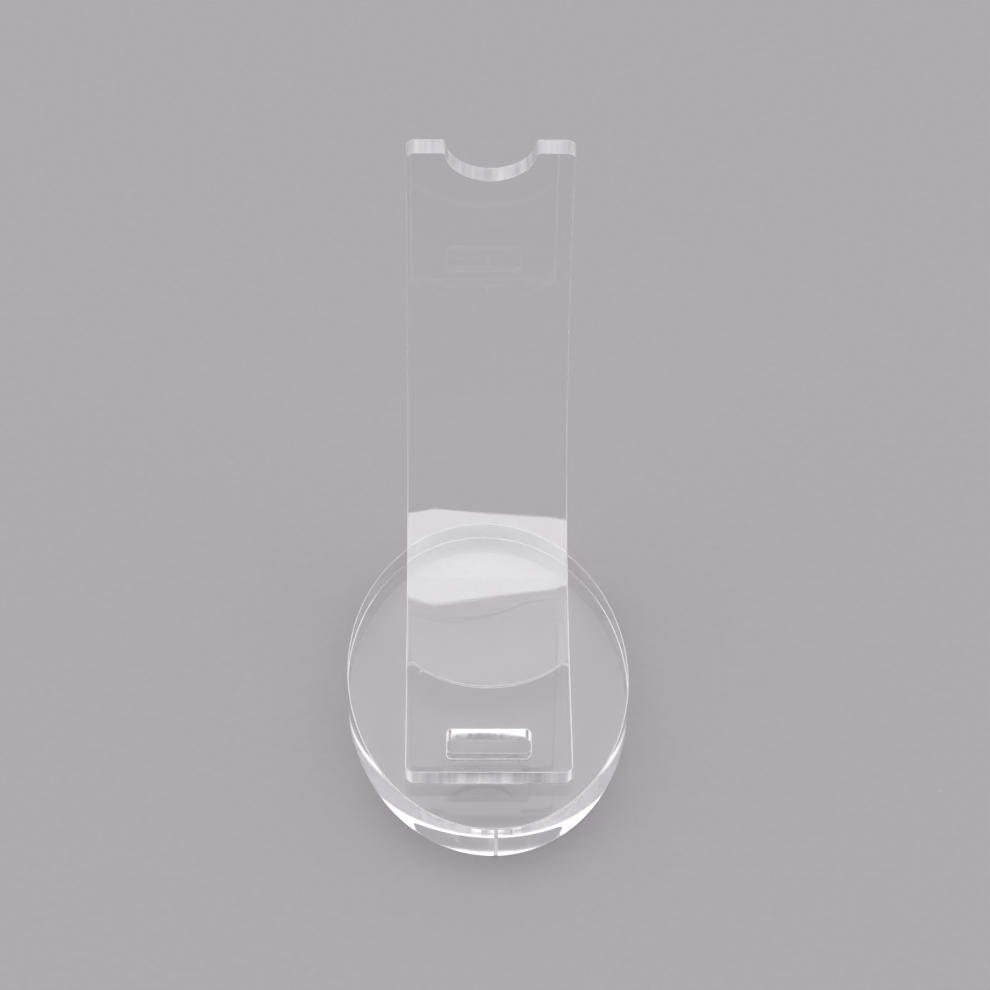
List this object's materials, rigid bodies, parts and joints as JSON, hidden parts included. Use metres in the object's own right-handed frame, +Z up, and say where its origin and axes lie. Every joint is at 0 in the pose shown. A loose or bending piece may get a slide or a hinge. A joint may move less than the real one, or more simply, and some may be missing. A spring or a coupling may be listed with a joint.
{
  "type": "phone stand",
  "caption": "Clear acrylic phone stand: thick oval base slab with a heat-bent strip cemented on top, a slot through the foot and a half-round notch in the forward-curling tip.",
  "frame": {"origin": "middle of the oval slab's underside", "axes": "+Z up; -Y is the front, where the foot and its slot are; +X to the right seen from the front"},
  "size_m": [0.1036, 0.1755, 0.1907],
  "materials": {
    "slab_acrylic": "clear cast acrylic, polished faces and a polished cut wall",
    "strip_acrylic": "clear cast acrylic, polished faces and glossy cut edges with fine cutting lines",
    "acrylic_cement": "clear solvent cement, glossy, with small trapped bubbles"
  },
  "bodies": {
    "root": {"base_slab": "slab_acrylic", "bent_strip": "strip_acrylic", "cement_film": "acrylic_cement"}
  },
  "joints": []
}
